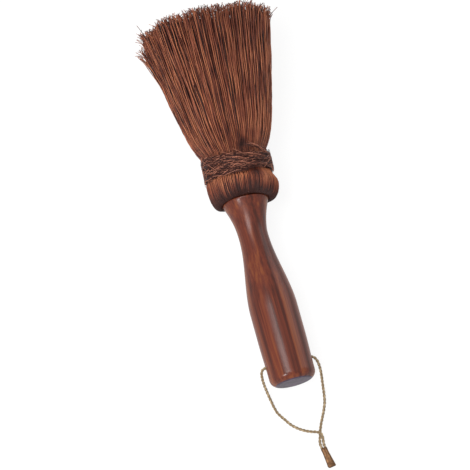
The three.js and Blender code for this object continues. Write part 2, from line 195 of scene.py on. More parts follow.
def tubes(paths, radii, sides):
    """Closed tubes along paths (tubes, steps, 3) with radii (tubes, steps), as points and faces."""
    across, up = cross_axes(paths)
    turn = 2 * math.pi * np.arange(sides) / sides
    ring = np.cos(turn)[:, None] * across[:, :, None] + np.sin(turn)[:, None] * up[:, :, None]
    points = paths[:, :, None] + radii[:, :, None, None] * ring
    index = np.arange(points.size // 3).reshape(points.shape[:3])
    ends = np.concatenate([index[:, 0, ::-1], index[:, -1]])
    return points.reshape(-1, 3), quads(index[:, :-1], index[:, 1:]) + ends.tolist()


def twisted(path, lay, radius, count):
    """Paths of count strands that wind round one path, a whole turn for each lay of its length."""
    across, up = (axis[0] for axis in cross_axes(path[None]))
    starts = 2 * math.pi * np.arange(count)[:, None] / count
    turn = (starts + 2 * math.pi * distances(path) / lay)[:, :, None]
    return path + radius * (np.cos(turn) * across + np.sin(turn) * up)


def new_piece(name, points, faces, material, smooth_to=180):
    """A mesh object of points in metres, where they lie, smooth across edges up to an angle in degrees."""
    mesh = bpy.data.meshes.new(name)
    mesh.from_pydata(np.asarray(points).tolist(), [], faces)
    mesh.polygons.foreach_set("use_smooth", [True] * len(mesh.polygons))
    if smooth_to < 180:
        mesh.set_sharp_from_angle(angle=math.radians(smooth_to))
    mesh.materials.append(material)
    piece = bpy.data.objects.new(name, mesh)
    bpy.context.scene.collection.objects.link(piece)
    return piece


def write_tone(piece, tones):
    """Keeps a shade from 0 to 1 at each point of a piece, for its material to read."""
    piece.data.attributes.new("tone", "FLOAT", "POINT").data.foreach_set("value", np.ravel(tones))


# Jute, twisted. Dull and hairy: each yarn is a little lighter or darker than the next, and the grooves of
# the lay stay dark.
jute, tree, output = new_material("jute cord, two-ply twisted")
tone = add_node(tree, "Attribute", out="Fac", attribute_name="tone")
fleck = add_node(tree, "TexNoise", {"Scale": 1 / (JUTE_FLECK_MM * MM), "Detail": 3})
mixed = add_node(tree, "Math", {0: fleck, 1: JUTE_FLECK_WEIGHT, 2: tone}, operation="MULTIPLY_ADD")
colour = add_node(
    tree, "ValToRGB", {"Fac": mixed}, [(0.3, JUTE_DARK), (0.65, JUTE_MIDDLE), (1.0, JUTE_LIGHT)],
)
fuzz = add_node(tree, "Bump", {"Height": fleck, "Strength": 0.4, "Distance": JUTE_FUZZ_MM * MM})
shader = add_node(tree, "BsdfPrincipled", {
    "Base Color": colour, "Normal": fuzz, "Roughness": 0.8, "IOR": 1.5, "Specular IOR Level": 0.3,
    "Sheen Weight": 0.1,
})
tree.links.new(shader, output)

hole = np.array(frame["joints"][0]["pos_m"])
cord_path = even_curve(CORD_ROUTE_MM, CORD_STEP_MM) * MM + hole
ends_out = [cord_path[0] - cord_path[1], cord_path[-1] - cord_path[-2]]
tucked = [end / np.linalg.norm(end) * IN_THE_SLEEVE_MM * MM for end in ends_out]
laid_path = np.concatenate([cord_path[:1] + tucked[0], cord_path, cord_path[-1:] + tucked[1]])

rng = np.random.default_rng(1)
plies = twisted(laid_path, CORD_LAY_MM * MM, PLY_FROM_MIDDLE_MM * MM, CORD_PLIES)
yarn_offset = (PLY_MM - YARN_MM) / 2 * MM
yarns = np.concatenate([twisted(ply, -YARN_LAY_MM * MM, yarn_offset, YARNS_IN_A_PLY) for ply in plies])
yarn_radii = YARN_MM / 2 * MM * rng.uniform(*YARN_THICKNESS, len(yarns))[:, None] * np.ones(yarns.shape[1])
yarn_tones = rng.uniform(*YARN_TONES, len(yarns))
hang_cord = new_piece("jute_hang_cord", *tubes(yarns, yarn_radii, YARN_SIDES), jute)
write_tone(hang_cord, np.repeat(yarn_tones, yarns.shape[1] * YARN_SIDES))
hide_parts("hang_cord")
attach(hang_cord, "hang_loop")


# Cord sleeve
# A short brass tube pressed flat over the cord's two ends. Its mouth stays rounder, its seam shows along the
# top, and the far end is nipped wide and thin.

SLEEVE_LENGTH_MM = 14.2
SLEEVE_TURN = math.radians(8.6)
SLEEVE_GAP_MM = 0.3
SLEEVE_WALL_MM = 0.4
SLEEVE_BORE_MM = 2.2
SLEEVE_EDGE_MM = 0.3
MOUTH_EDGE_MM = 0.15
SLEEVE_SIDES = 72
SLEEVE_RINGS = 48
# Places along the sleeve with its width and height there, and how square its section is, 1 for an oval
SLEEVE_FORM_MM = [
    (0, 4.4, 2.9, 0.75), (3, 4.2, 2.7, 0.7), (8, 4.8, 2.5, 0.6), (SLEEVE_LENGTH_MM, 5.7, 2.3, 0.5),
]
SEAM_AT_MM = 0.3
SEAM_WIDTH_MM = 0.3
SEAM_DEPTH_MM = 0.2
# The nip draws in one corner of the far end: how far, from which share of the half width, how suddenly
NIPPED_CORNER_MM = 1.1
NIPPED_FROM = 0.55
NIP_POWER = 8
TARNISH_MM = 3
DENT_MM = 0.2
BRASS_CLEAN = "#7f5f43"
BRASS_DULL = "#684d38"
BRASS_STAINED = "#483627"


def sleeve_ring(at, drawn_in=0.0, bore=False):
    """One ring of the sleeve in millimetres, from its mouth, drawn in at an edge or along the bore."""
    places, *forms = zip(*SLEEVE_FORM_MM)
    width, height, square = (np.interp(at, places, form) for form in forms)
    turn = 2 * math.pi * np.arange(SLEEVE_SIDES) / SLEEVE_SIDES
    across = np.sign(np.cos(turn)) * np.abs(np.cos(turn)) ** square * (width / 2 - drawn_in)
    up = np.sign(np.sin(turn)) * np.abs(np.sin(turn)) ** square * (height / 2 - drawn_in)
    along = np.full(SLEEVE_SIDES, float(at))
    if not bore:
        seam = np.exp(-(((across - SEAM_AT_MM) / SEAM_WIDTH_MM) ** 2)) * (up > 0)
        up = up - SEAM_DEPTH_MM * seam
        corner = np.clip(-across / (width / 2) - NIPPED_FROM, 0, 1) / (1 - NIPPED_FROM)
        along = along - NIPPED_CORNER_MM * corner**2 * (at / SLEEVE_LENGTH_MM) ** NIP_POWER
    return np.stack([across, -along, height / 2 + up], axis=1)


# Brass, pressed and tarnished. A dull brownish yellow metal with a soft blurred gloss, darker where tarnish
# gathers.
brass, tree, output = new_material("brass, pressed and tarnished")
place = add_node(tree, "TexCoord", out="Object")
tarnish = add_node(tree, "TexNoise", {
    "Vector": place, "Scale": 1 / (TARNISH_MM * MM), "Detail": 5, "Roughness": 0.65,
})
colour = add_node(
    tree, "ValToRGB", {"Fac": tarnish}, [(0.3, BRASS_STAINED), (0.5, BRASS_DULL), (0.72, BRASS_CLEAN)],
)
gloss = add_node(tree, "MapRange", {
    "Value": tarnish, "From Min": 0.3, "From Max": 0.7, "To Min": 0.6, "To Max": 0.42,
})
dents = add_node(tree, "Bump", {"Height": tarnish, "Strength": 0.25, "Distance": DENT_MM * MM})
shader = add_node(tree, "BsdfPrincipled", {
    "Base Color": colour, "Roughness": gloss, "Normal": dents, "Metallic": 1.0,
})
tree.links.new(shader, output)

outer_places = np.linspace(SLEEVE_EDGE_MM, SLEEVE_LENGTH_MM - SLEEVE_EDGE_MM, SLEEVE_RINGS)
sleeve_rings = [
    sleeve_ring(SLEEVE_BORE_MM, SLEEVE_WALL_MM, bore=True),
    sleeve_ring(MOUTH_EDGE_MM, SLEEVE_WALL_MM, bore=True),
    sleeve_ring(0, SLEEVE_WALL_MM / 2),
    *(sleeve_ring(at) for at in outer_places),
    sleeve_ring(SLEEVE_LENGTH_MM, SLEEVE_EDGE_MM),
]


def joined_rings(rings, closed=False):
    """Points and faces of rings of equal count joined in order, with flat ends or closed on themselves."""
    rings = np.array(rings)
    index = np.arange(rings.shape[0] * rings.shape[1]).reshape(rings.shape[:2])
    points = rings.reshape(-1, 3)
    if closed:
        return points, quads(index, np.roll(index, -1, 0))
    return points, quads(index[:-1], index[1:]) + [index[0, ::-1].tolist(), index[-1].tolist()]


cord_ends_middle = (np.array(CORD_ROUTE_MM[0]) + np.array(CORD_ROUTE_MM[-1])) / 2 * MM + hole
sleeve_place = (
    Matrix.Translation(cord_ends_middle - np.array([0, SLEEVE_GAP_MM, SLEEVE_FORM_MM[0][2] / 2]) * MM)
    @ Matrix.Rotation(SLEEVE_TURN, 4, "Z")
)


def placed(points_mm, place):
    """Points in millimetres put where a piece lies, in metres."""
    turn = np.array(place.to_3x3())
    return points_mm * MM @ turn.T + np.array(place.translation)


sleeve_points, sleeve_faces = joined_rings(sleeve_rings)
sleeve_points = placed(sleeve_points, sleeve_place)
sleeve = new_piece("brass_cord_sleeve", sleeve_points, sleeve_faces, brass, smooth_to=50)
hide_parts("cord_clamp")
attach(sleeve, "hang_loop")


# Handle
# One piece of dark reddish hardwood, turned on a lathe, drilled across the butt for the cord, stained and
# lacquered. Inside the head it runs on as a stepped spigot with a knob, where the fibres are tied. Distances
# along the brush are from the butt face.

GRIP_RADIUS_MM = 16.4
GRIP_FULLEST_AT_MM = 32
GRIP_LENGTH_MM = 52
BUTT_RADIUS_MM = 15.9
BUTT_EDGE_WIDTH_MM = 5.4
BUTT_EDGE_DEPTH_MM = 5.6
NECK_AT_MM = 105
NECK_RADIUS_MM = 10.1
COLLAR_AT_MM = 131
COLLAR_RADIUS_MM = 16.2
COLLAR_EDGE_MM = 0.9
FLARE_POWER = 1.9
BEND_AT_MM = 108
HEAD_LEAN = math.radians(2.6)
HOLE_AT_MM = 14.4
HOLE_RADIUS_MM = 1.25
# The hole's edge is eased: how far it opens, over what depth, and from how far inside the butt's radius
HOLE_LIP_MM = 0.7
HOLE_LIP_DEPTH_MM = 1.095
HOLE_LIP_FROM_MM = 1
# The spigot's seats are as long as the roots and wire ties on them.
FIT_GAP_MM = 0.3
ROOT_MM = 1.3
WIRE_MM = 1.2
WIRE_PITCH_MM = 1.7
TIE_TURNS = 3
WIDE_SEAT_RADIUS_MM = 12.5
WIDE_SEAT_SPARE_MM = 2
NARROW_SEAT_RADIUS_MM = 9
NARROW_SEAT_SPARE_MM = 2.5
KNOB_RADIUS_MM = 10.3
KNOB_LENGTH_MM = 4.5
HANDLE_SEGMENTS = 160
HANDLE_RING_MM = 0.8
EDGE_STEPS = 16
DRILL_SEGMENTS = 32
DRILL_RINGS = 61
DRILL_PAST_MM = 2
GRAIN_BAND_MM = 6
GRAIN_STREAK_MM = 1.3
GRAIN_STREAK_WEIGHT = 0.55
PORE_MM = 0.4
PORE_WEIGHT = 0.2
GRAIN_STRETCH = 0.02
RIPPLE_MM = 0.15
WOOD_DARK = "#40190f"
WOOD_RED = "#632a1a"
WOOD_ORANGE = "#793e20"
LACQUER = 0.44
END_LACQUER = 0.24
# The cut face at the butt shows end grain to this depth and soaks up some of the lacquer.
END_GRAIN_DARK = "#281c28"
END_GRAIN_GREY = "#4a374c"
END_GRAIN_MM = 0.5
GRAIN_FROM_MM = (-2, 0, 0)
# One broad dark vein runs along the handle, right of its middle.
VEIN_AT_MM = 4.4
VEIN_WIDTH_MM = 2.2
VEIN_DEPTH = 0.2

lie = math.atan2(-butt_face["axis"][2], -butt_face["axis"][1])
handle_place = Matrix.Translation(butt) @ Matrix.Rotation(lie, 4, "X")
bend_point = Matrix.Translation((0, BEND_AT_MM * MM, 0))
head_place = handle_place @ bend_point @ Matrix.Rotation(-HEAD_LEAN, 4, "Z") @ bend_point.inverted()

tie_room = WIRE_MM + TIE_TURNS * WIRE_PITCH_MM + FIT_GAP_MM
outer_fold_at = COLLAR_AT_MM + FIT_GAP_MM
outer_pocket_at = outer_fold_at + ROOT_MM
wide_seat_end = outer_pocket_at + tie_room + WIDE_SEAT_SPARE_MM
inner_fold_at = wide_seat_end + FIT_GAP_MM
inner_pocket_at = inner_fold_at + ROOT_MM
knob_at = inner_pocket_at + tie_room + NARROW_SEAT_SPARE_MM
spigot_end = knob_at + KNOB_LENGTH_MM


def eased(start, end, share):
    """A soft step from start to end as share goes from 0 to 1."""
    share = np.clip(share, 0, 1)
    return start + (end - start) * share**2 * (3 - 2 * share)


def handle_radius(at):
    """The handle's radius at distances from the butt face, in millimetres."""
    swell = (at - BUTT_EDGE_DEPTH_MM) / (GRIP_FULLEST_AT_MM - BUTT_EDGE_DEPTH_MM)
    grip = eased(BUTT_RADIUS_MM, GRIP_RADIUS_MM, swell)
    taper = eased(GRIP_RADIUS_MM, NECK_RADIUS_MM, (at - GRIP_LENGTH_MM) / (NECK_AT_MM - GRIP_LENGTH_MM))
    rise = np.clip((at - NECK_AT_MM) / (COLLAR_AT_MM - COLLAR_EDGE_MM - NECK_AT_MM), 0, 1) ** FLARE_POWER
    flare = NECK_RADIUS_MM + (COLLAR_RADIUS_MM - NECK_RADIUS_MM) * rise
    return np.where(at < GRIP_LENGTH_MM, grip, np.where(at < NECK_AT_MM, taper, flare))


def round_axis(radius, turn, at):
    """Points round the y axis by their distance from it, angle from the top and place along it."""
    return np.stack(np.broadcast_arrays(radius * np.sin(turn), at, radius * np.cos(turn)), axis=-1)


def turned(outline, segments):
    """Rings in millimetres round the y axis, one for each radius and place of an outline."""
    turn = 2 * math.pi * np.arange(segments) / segments
    return [round_axis(radius, turn, at) for radius, at in outline]


def bent(points_mm):
    """Points of the straight handle with its head end leaned over to the right."""
    turn = np.array(Matrix.Rotation(-HEAD_LEAN, 3, "Z"))
    pivot = np.array([0, BEND_AT_MM, 0])
    return np.where(points_mm[:, 1:2] > BEND_AT_MM, (points_mm - pivot) @ turn.T + pivot, points_mm)


# Hardwood, turned, stained and lacquered. Long streaks of dark and orange wood under a clear coat that
# mirrors a lamp as a soft stripe along the grip and the pale surroundings along both edges.
wood, tree, output = new_material("stained hardwood, turned and lacquered")
lathe = add_node(tree, "Attribute", out="Vector", attribute_name="lathe_mm")
long_grain = add_node(tree, "Mapping", {
    "Vector": lathe, "Location": GRAIN_FROM_MM, "Scale": (1, GRAIN_STRETCH, 1),
})
bands = add_node(tree, "TexNoise", {
    "Vector": long_grain, "Scale": 1 / GRAIN_BAND_MM, "Detail": 2, "Distortion": 0.3,
})
streaks = add_node(tree, "TexNoise", {
    "Vector": long_grain, "Scale": 1 / GRAIN_STREAK_MM, "Detail": 4, "Roughness": 0.6,
})
pores = add_node(tree, "TexNoise", {"Vector": long_grain, "Scale": 1 / PORE_MM, "Detail": 2})
streaked = add_node(tree, "Math", {0: streaks, 1: GRAIN_STREAK_WEIGHT, 2: bands}, operation="MULTIPLY_ADD")
figured = add_node(tree, "Math", {0: pores, 1: PORE_WEIGHT, 2: streaked}, operation="MULTIPLY_ADD")
to_right = add_node(tree, "SeparateXYZ", {"Vector": lathe}, out="X")
from_butt = to_right.node.outputs["Y"]
beside_vein = add_node(tree, "Math", {0: to_right, 1: VEIN_AT_MM}, operation="SUBTRACT")
from_vein = add_node(tree, "Math", {0: beside_vein}, operation="ABSOLUTE")
vein = add_node(tree, "MapRange", {
    "Value": from_vein, "From Max": VEIN_WIDTH_MM, "To Min": VEIN_DEPTH, "To Max": 0.0,
}, interpolation_type="SMOOTHSTEP")
grain = add_node(tree, "Math", {0: figured, 1: vein}, operation="SUBTRACT")
colour = add_node(
    tree, "ValToRGB", {"Fac": grain}, [(0.65, WOOD_DARK), (0.86, WOOD_RED), (1.0, WOOD_ORANGE)],
)
cut_end = add_node(tree, "Math", {0: from_butt, 1: END_GRAIN_MM}, operation="LESS_THAN")
rings = add_node(tree, "ValToRGB", {"Fac": figured}, [(0.65, END_GRAIN_DARK), (1.0, END_GRAIN_GREY)])
surface = add_node(tree, "Mix", {"Factor": cut_end, 6: colour, 7: rings}, out=2, data_type="RGBA")
lacquer = add_node(tree, "MapRange", {"Value": cut_end, "To Min": LACQUER, "To Max": END_LACQUER})
ripple = add_node(tree, "Bump", {"Height": streaks, "Strength": 0.1, "Distance": RIPPLE_MM * MM})
shader = add_node(tree, "BsdfPrincipled", {
    "Base Color": surface, "Roughness": 0.5, "IOR": 1.5, "Specular IOR Level": 0.07,
    "Coat Weight": lacquer, "Coat Roughness": 0.22, "Coat Normal": ripple,
})
tree.links.new(shader, output)

edge_turn = np.linspace(0, math.pi / 2, EDGE_STEPS)
butt_edge = np.stack([
    BUTT_RADIUS_MM - BUTT_EDGE_WIDTH_MM * (1 - np.sin(edge_turn)),
    BUTT_EDGE_DEPTH_MM * (1 - np.cos(edge_turn)),
], axis=1)
shaft_length = COLLAR_AT_MM - COLLAR_EDGE_MM - BUTT_EDGE_DEPTH_MM
shaft_at = BUTT_EDGE_DEPTH_MM + np.linspace(0, shaft_length, round(shaft_length / HANDLE_RING_MM))[1:]
shaft = np.stack([handle_radius(shaft_at), shaft_at], axis=1)
collar_edge = np.stack([
    COLLAR_RADIUS_MM - COLLAR_EDGE_MM * (1 - np.cos(edge_turn)),
    COLLAR_AT_MM - COLLAR_EDGE_MM * (1 - np.sin(edge_turn)),
], axis=1)[1:]
spigot = [
    (WIDE_SEAT_RADIUS_MM, COLLAR_AT_MM), (WIDE_SEAT_RADIUS_MM, wide_seat_end),
    (NARROW_SEAT_RADIUS_MM, wide_seat_end), (NARROW_SEAT_RADIUS_MM, knob_at),
    (KNOB_RADIUS_MM, knob_at), (KNOB_RADIUS_MM, spigot_end),
]
handle_outline = [*butt_edge, *shaft, *collar_edge, *spigot]
straight_points, handle_faces = joined_rings(turned(handle_outline, HANDLE_SEGMENTS))
handle_points = placed(bent(straight_points), handle_place)
handle = new_piece("turned_handle", handle_points, handle_faces, wood, smooth_to=40)

# The drill opens out at both ends, where the hole's edge is eased for the cord.
drill_reach = GRIP_RADIUS_MM + DRILL_PAST_MM
drill_across = np.linspace(-drill_reach, drill_reach, DRILL_RINGS)
past_lip = np.clip(np.abs(drill_across) - (BUTT_RADIUS_MM - HOLE_LIP_FROM_MM), 0, None)
drill_radius = HOLE_RADIUS_MM + HOLE_LIP_MM * (past_lip / HOLE_LIP_DEPTH_MM) ** 2
drill_outline = np.stack([drill_radius, drill_across], axis=1)
drill_points, drill_faces = joined_rings(turned(drill_outline, DRILL_SEGMENTS))
drill_points = drill_points[:, [1, 2, 0]] + np.array([0, HOLE_AT_MM, 0])
drill = new_piece("drill", placed(drill_points, handle_place), drill_faces, wood)
drilled = handle.modifiers.new("drilled", "BOOLEAN")
drilled.object = drill
drilled.solver = "EXACT"
bpy.context.view_layer.update()
solid_mesh = handle.data
cut_handle = handle.evaluated_get(bpy.context.evaluated_depsgraph_get())
handle.data = bpy.data.meshes.new_from_object(cut_handle)
handle.modifiers.clear()
bpy.data.objects.remove(drill)
bpy.data.meshes.remove(solid_mesh)
handle.data.name = "turned_handle"

# The grain runs along the handle's straight axis, so each point keeps its place along and across it.
cut_points = np.empty(3 * len(handle.data.vertices))
handle.data.vertices.foreach_get("co", cut_points)
lathe_mm = (cut_points.reshape(-1, 3) - np.array(butt)) @ np.array(handle_place.to_3x3()) / MM
lathe_places = handle.data.attributes.new("lathe_mm", "FLOAT_VECTOR", "POINT")
lathe_places.data.foreach_set("vector", lathe_mm.ravel())
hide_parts("handle")
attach(handle, "brush")


# Root ties
# Two short windings of soft steel wire, hidden in the head. Each is pulled tight round the roots of one hank
# of fibre, to hold it on its seat of the handle's spigot.

STEPS_A_TURN = 64
WIRE_SIDES = 12
WIRE_MOTTLE_MM = 0.6
WIRE_BRIGHT = "#a39c94"
WIRE_GREY = "#6b655f"


def root_radii(seat):
    """Radii round a seat: the roots' inside and outside, the wire's middle, the folded fibre's inside."""
    outside = seat + FIT_GAP_MM + ROOT_MM
    wire = outside + FIT_GAP_MM + WIRE_MM / 2
    return seat + FIT_GAP_MM, outside, wire, wire + WIRE_MM / 2 + FIT_GAP_MM


inner_inside, inner_outside, inner_wire, inner_folded = root_radii(NARROW_SEAT_RADIUS_MM)
outer_inside, outer_outside, outer_wire, outer_folded = root_radii(WIDE_SEAT_RADIUS_MM)

# Steel wire, drawn and annealed. A soft grey metal with a mottled, blurred gloss.
steel, tree, output = new_material("steel wire, drawn and annealed")
place = add_node(tree, "TexCoord", out="Object")
mottle = add_node(tree, "TexNoise", {"Vector": place, "Scale": 1 / (WIRE_MOTTLE_MM * MM), "Detail": 4})
colour = add_node(tree, "ValToRGB", {"Fac": mottle}, [(0.35, WIRE_GREY), (0.65, WIRE_BRIGHT)])
gloss = add_node(tree, "MapRange", {"Value": mottle, "To Min": 0.6, "To Max": 0.4})
shader = add_node(tree, "BsdfPrincipled", {"Base Color": colour, "Roughness": gloss, "Metallic": 1.0})
tree.links.new(shader, output)

for tie, radius, pocket_at in (
    ("inner_root_tie", inner_wire, inner_pocket_at), ("outer_root_tie", outer_wire, outer_pocket_at),
):
    wound = np.linspace(0, TIE_TURNS, TIE_TURNS * STEPS_A_TURN + 1)
    rise = pocket_at + FIT_GAP_MM + WIRE_MM / 2 + WIRE_PITCH_MM * wound
    coil = round_axis(radius, 2 * math.pi * wound, rise)
    tails = coil[:1] - [WIRE_MM, 0, 0], coil[-1:] + [WIRE_MM, 0, 0]
    wire = placed(np.concatenate([tails[0], coil, tails[1]]), head_place)[None]
    wire_radii = np.full(wire.shape[:2], WIRE_MM / 2 * MM)
    winding = new_piece(tie + "_wire", *tubes(wire, wire_radii, WIRE_SIDES), steel, smooth_to=60)
    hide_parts(tie)
    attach(winding, "brush")


# Inner fibre hank
# A hank of stiff palm fibre, tied by its roots, folded back over the wire and pressed round the spigot. Its
# trimmed ends are the bristles in the middle of the head.

ROLL_AT_MM = 142.5
SHOULDER_MM = 6.5
BINDING_MM = 14.58
BRISTLE_LENGTH_MM = 98.4
TIP_RADIUS_MM = 45
TIPS_PRESSED_MM = 2.5
FOLD_ROUNDING_MM = 1.6
FIBRE_MM = 0.58
FIBRE_THICKNESS = (0.6, 1.25)
THINNER_ENDS = 0.35
FIBRE_SIDES = 4
MIDDLE_POINTS = 9
INNER_LAYERS = 11
INNER_TIPS_MM = (0, 35)
TUCKED_MM = 9
TIP_PITCH_MM = 1.15
PITCH_JITTER = 0.2
# Most of the fan opens evenly, and part of it at once above the binding.
EARLY_SPREAD = 0.22
EARLY_SPREAD_MM = 10
# Fibres lean and end together, in waves round the head, and each a little by itself. Some stray across.
SHARED_WAVES = (4, 9, 15)
SHARED_LEAN_MM = 0.2
SHARED_TRIM_MM = 0.7
OWN_LEAN_MM = 0.25
STRAY_LEAN_MM = 3
STRAY_SHARE = 0.18
TRIM_MM = 4
TRIM_ROUNDING_MM = 2.5
CURL_LENGTH_MM = 6
CURL_MM = 2.3
FLICK_POWER = 8
# A fibre weaves in and out past its neighbours, and less to the sides.
WEAVE_LENGTH_MM = 36
WEAVE_OUT_MM = 0.45
WEAVE_ASIDE_MM = 0.22
WEAVE_SPREAD = 0.3
WEAVE_PHASE_SPREAD = 0.4
ASIDE_PHASE = 3
# Shades from 0, dark, to 1: painted shade deep in the head and painted light near the outside, and what
# makes a fibre lighter or darker
DEEP_SHADE = 0.04
OPEN_SHADE = 0.41
PROUD_SHADE = 0.12
STRAY_SHADE = 0.3
BESIDE_SHADE = 0.22
SHADE_SPREAD = 0.1
PATCHY_SHADE = 0.15
SHADED_BELOW_MM = 3
TIPS_LIT_POWER = 12
HANK_SHADE = 0.1
# The bake map's cells: their margin, how tall they are for their width, and the height of a fibre's end
CELL_MARGIN = 0.08
CELL_TALL = 4
CELL_END_TALL = 0.8
FIBRE_PATCH_MM = 4
FIBRE_PATCH_WEIGHT = 0.25
FIBRE_DARK = "#30130e"
FIBRE_BROWN = "#80422e"
FIBRE_TAN = "#b56f4d"

bound_from = ROLL_AT_MM + SHOULDER_MM
bound_end = bound_from + BINDING_MM
# Places along a fibre from the end of the binding, closest where it bends
fibre_places = np.concatenate([
    [-TUCKED_MM, -TUCKED_MM / 3], EARLY_SPREAD_MM * np.array([0.1, 0.4, 0.8, 1.3, 2]),
    np.linspace(3 * EARLY_SPREAD_MM, BRISTLE_LENGTH_MM - CURL_LENGTH_MM, MIDDLE_POINTS),
    BRISTLE_LENGTH_MM - CURL_LENGTH_MM * np.array([0.65, 0.35, 0.15, 0]),
])


def table_below(at):
    """How far the table lies under the handle's axis, in millimetres."""
    return BUTT_RADIUS_MM + math.tan(lie) * (at - BUTT_EDGE_DEPTH_MM)


def fan(past):
    """How far the bristles have spread, from 0 to 1, at distances past the end of the binding."""
    past = np.clip(past, 0, None)
    at_once = 1 - np.exp(-past / EARLY_SPREAD_MM)
    return EARLY_SPREAD * at_once + (1 - EARLY_SPREAD) * past / BRISTLE_LENGTH_MM


def bristles(rng, angle, root, tip, trim, flick=0.0):
    """Paths, half thicknesses and shades of bristles, in millimetres along the head's axis.

    Each leaves the binding at an angle and root radius and ends at a tip radius, cut short by its trim.
    A flick bends the end of a loose one outwards.
    """
    count = len(angle)
    shared = np.zeros((2, count))
    for waves in SHARED_WAVES:
        swing = rng.normal(0, 1, (2, 1))
        shared = shared + swing * np.sin(waves * angle + rng.uniform(0, 2 * math.pi, (2, 1)))
    stray = rng.uniform(0, 1, count) < STRAY_SHARE
    sideways = SHARED_LEAN_MM * shared[0] + rng.normal(0, np.where(stray, STRAY_LEAN_MM, OWN_LEAN_MM))
    outwards = rng.uniform(-OWN_LEAN_MM, OWN_LEAN_MM / 2, count)
    trim = trim + TRIM_MM * rng.uniform(0, 1, count) ** 2 + SHARED_TRIM_MM * shared[1]

    past = np.clip(fibre_places, 0, None)
    reach = past / BRISTLE_LENGTH_MM
    spread = fan(past)
    at = bound_end + fibre_places - trim[:, None] * reach
    out = np.stack([np.sin(angle), np.cos(angle)], axis=1)[:, None]
    aside = np.stack([np.cos(angle), -np.sin(angle)], axis=1)[:, None]
    wave = WEAVE_LENGTH_MM * rng.uniform(1 - WEAVE_SPREAD, 1 + WEAVE_SPREAD, (count, 1))
    out_of_step = rng.uniform(-WEAVE_PHASE_SPREAD, WEAVE_PHASE_SPREAD, (count, 1))
    phase = math.pi * (np.arange(count)[:, None] + out_of_step)
    started = 1 - np.exp(-past / EARLY_SPREAD_MM)
    proud = WEAVE_OUT_MM * np.cos(2 * math.pi * past / wave + phase) * started
    swung = WEAVE_ASIDE_MM * np.sin(2 * math.pi * past / wave + ASIDE_PHASE * phase) * started
    radius = root[:, None] + (tip + outwards - root)[:, None] * spread + flick * reach**FLICK_POWER + proud
    across = radius[:, :, None] * out + (sideways[:, None] * spread + swung)[:, :, None] * aside
    bend = np.clip((past - BRISTLE_LENGTH_MM + CURL_LENGTH_MM) / CURL_LENGTH_MM, 0, 1)[:, None] ** 2
    across = across + rng.normal(0, CURL_MM, (count, 1, 2)) * bend

    # The table presses the lower bristles in a little.
    x, z = across[:, :, 0], across[:, :, 1]
    z = np.where(z < 0, z * (1 - reach * TIPS_PRESSED_MM / TIP_RADIUS_MM), z)
    taper = 1 - THINNER_ENDS * np.abs(2 * reach - 1) ** 3
    thick = FIBRE_MM / 2 * rng.uniform(*FIBRE_THICKNESS, count)[:, None] * taper
    z = np.maximum(z, thick - table_below(at))

    # Painted shade darkens the fibres deep in the head, and painted light lifts the outer fibres, all tips
    # and the proud parts of a fibre. Neighbours differ in shade, and so do parts of a fibre.
    near_outside = 1 - (TIP_RADIUS_MM - tip[:, None]) / SHADED_BELOW_MM
    open_to_light = np.clip(near_outside, reach**TIPS_LIT_POWER, 1)
    shade = DEEP_SHADE + (OPEN_SHADE - DEEP_SHADE) * open_to_light + PROUD_SHADE * proud / WEAVE_OUT_MM
    beside = BESIDE_SHADE * np.where(np.arange(count) % 2, 1, -1)
    own_shade = beside + STRAY_SHADE * stray + rng.normal(0, SHADE_SPREAD, count)
    shade = shade + own_shade[:, None] + rng.normal(0, PATCHY_SHADE, proud.shape)
    return np.stack([x, at, z], axis=2), thick, np.clip(shade, 0, 1)


def combed_layers(rng, layers, roots, tips):
    """Angles, root radii, tip radii and trims of bristles, evenly spaced in layers and trimmed round."""
    angle, root, tip = [], [], []
    for share in np.linspace(0, 1, layers):
        tip_radius = tips[0] + (tips[1] - tips[0]) * share
        count = max(round(2 * math.pi * tip_radius / TIP_PITCH_MM), 1)
        places = np.arange(count) + rng.uniform(-PITCH_JITTER, PITCH_JITTER, count) + rng.uniform(0, 1)
        angle.append(2 * math.pi * places / count)
        root.append(np.full(count, roots[0] + (roots[1] - roots[0]) * share))
        tip.append(np.full(count, tip_radius))
    angle, root, tip = (np.concatenate(values) for values in (angle, root, tip))
    return angle, root, tip, TRIM_ROUNDING_MM * (tip / TIP_RADIUS_MM) ** 2


def fibre_cells(piece, count, steps, sides):
    """A bake map with one upright cell for each fibre: its walls unrolled, its two ends below and above."""
    columns = math.ceil(math.sqrt(CELL_TALL * count))
    rows = math.ceil(count / columns)
    number = np.arange(count)
    corner = np.stack([number % columns, number // columns], axis=1)
    step, side = np.meshgrid(np.arange(1, steps), np.arange(sides), indexing="ij")
    near, far = side / sides, (side + 1) / sides
    across = np.stack([near, far, far, near], axis=-1)
    up = np.stack([step, step, step + 1, step + 1], axis=-1)
    wall = np.stack([across, up], axis=-1)
    end = np.array([[0, 0], [1, 0], [1, 1], [0, 1]]) * [1, CELL_END_TALL]
    flat = []
    for part in (wall.reshape(-1, 2), end, end + [0, steps + 1 - CELL_END_TALL]):
        inside = corner[:, None] + CELL_MARGIN + (1 - 2 * CELL_MARGIN) * (part / [1, steps + 1])
        flat.append((inside / [columns, rows]).ravel())
    piece.data.uv_layers.new(name="OFBake").data.foreach_set("uv", np.concatenate(flat))


def fibre_piece(name, paths, thick, tones, material, node, slot):
    """A piece made of many fibres on the head, standing for one node of the frame."""
    laid = placed(paths.reshape(-1, 3), head_place).reshape(paths.shape)
    piece = new_piece(name, *tubes(laid, thick * MM, FIBRE_SIDES), material)
    tones = np.broadcast_to(np.reshape(tones, (len(paths), -1)), paths.shape[:2])
    write_tone(piece, np.repeat(tones, FIBRE_SIDES))
    fibre_cells(piece, *paths.shape[:2], FIBRE_SIDES)
    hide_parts(node)
    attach(piece, "brush")


